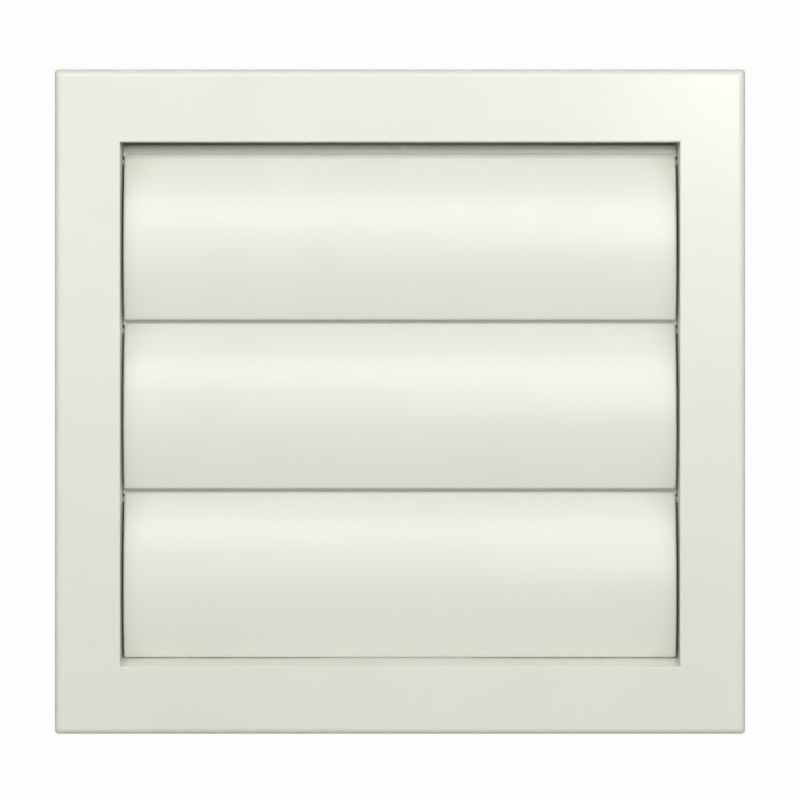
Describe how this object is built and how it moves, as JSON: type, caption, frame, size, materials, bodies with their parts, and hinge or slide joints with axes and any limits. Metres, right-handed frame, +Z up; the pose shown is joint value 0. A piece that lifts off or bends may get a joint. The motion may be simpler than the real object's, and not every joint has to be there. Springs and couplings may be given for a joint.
{
  "type": "louvred air grille",
  "caption": "Square wall grille for a round duct: a flat frame round an opening closed by three curved, top-hinged gravity flaps, with a round spigot behind.",
  "frame": {"origin": "on the axis of the spigot, in the plane of the wall (the back of the wall plate)", "axes": "+X to the right seen from the front, +Y into the wall along the spigot, +Z up; the face looks along -Y"},
  "size_m": [0.14, 0.057, 0.1348],
  "materials": {
    "frame_plastic": "glossy warm off-white moulded plastic",
    "flap_plastic": "glossy warm off-white moulded plastic",
    "base_plastic": "semi-gloss warm off-white moulded plastic",
    "screw_zinc": "bright zinc plate"
  },
  "bodies": {
    "grille_body": {"front_frame": "frame_plastic", "spigot_base": "base_plastic", "assembly_screws": "screw_zinc"},
    "top_flap": {"top_flap": "flap_plastic"},
    "middle_flap": {"middle_flap": "flap_plastic"},
    "bottom_flap": {"bottom_flap": "flap_plastic"}
  },
  "joints": [
    {"name": "top_flap_hinge", "type": "hinge", "parent": "grille_body", "child": "top_flap", "pos_m": [0, -0.0138, 0.0488], "axis": [-1, 0, 0], "range_deg": [0, 75]},
    {"name": "middle_flap_hinge", "type": "hinge", "parent": "grille_body", "child": "middle_flap", "pos_m": [0, -0.0138, 0.0144], "axis": [-1, 0, 0], "range_deg": [0, 75]},
    {"name": "bottom_flap_hinge", "type": "hinge", "parent": "grille_body", "child": "bottom_flap", "pos_m": [0, -0.0138, -0.02], "axis": [-1, 0, 0], "range_deg": [0, 75]}
  ]
}
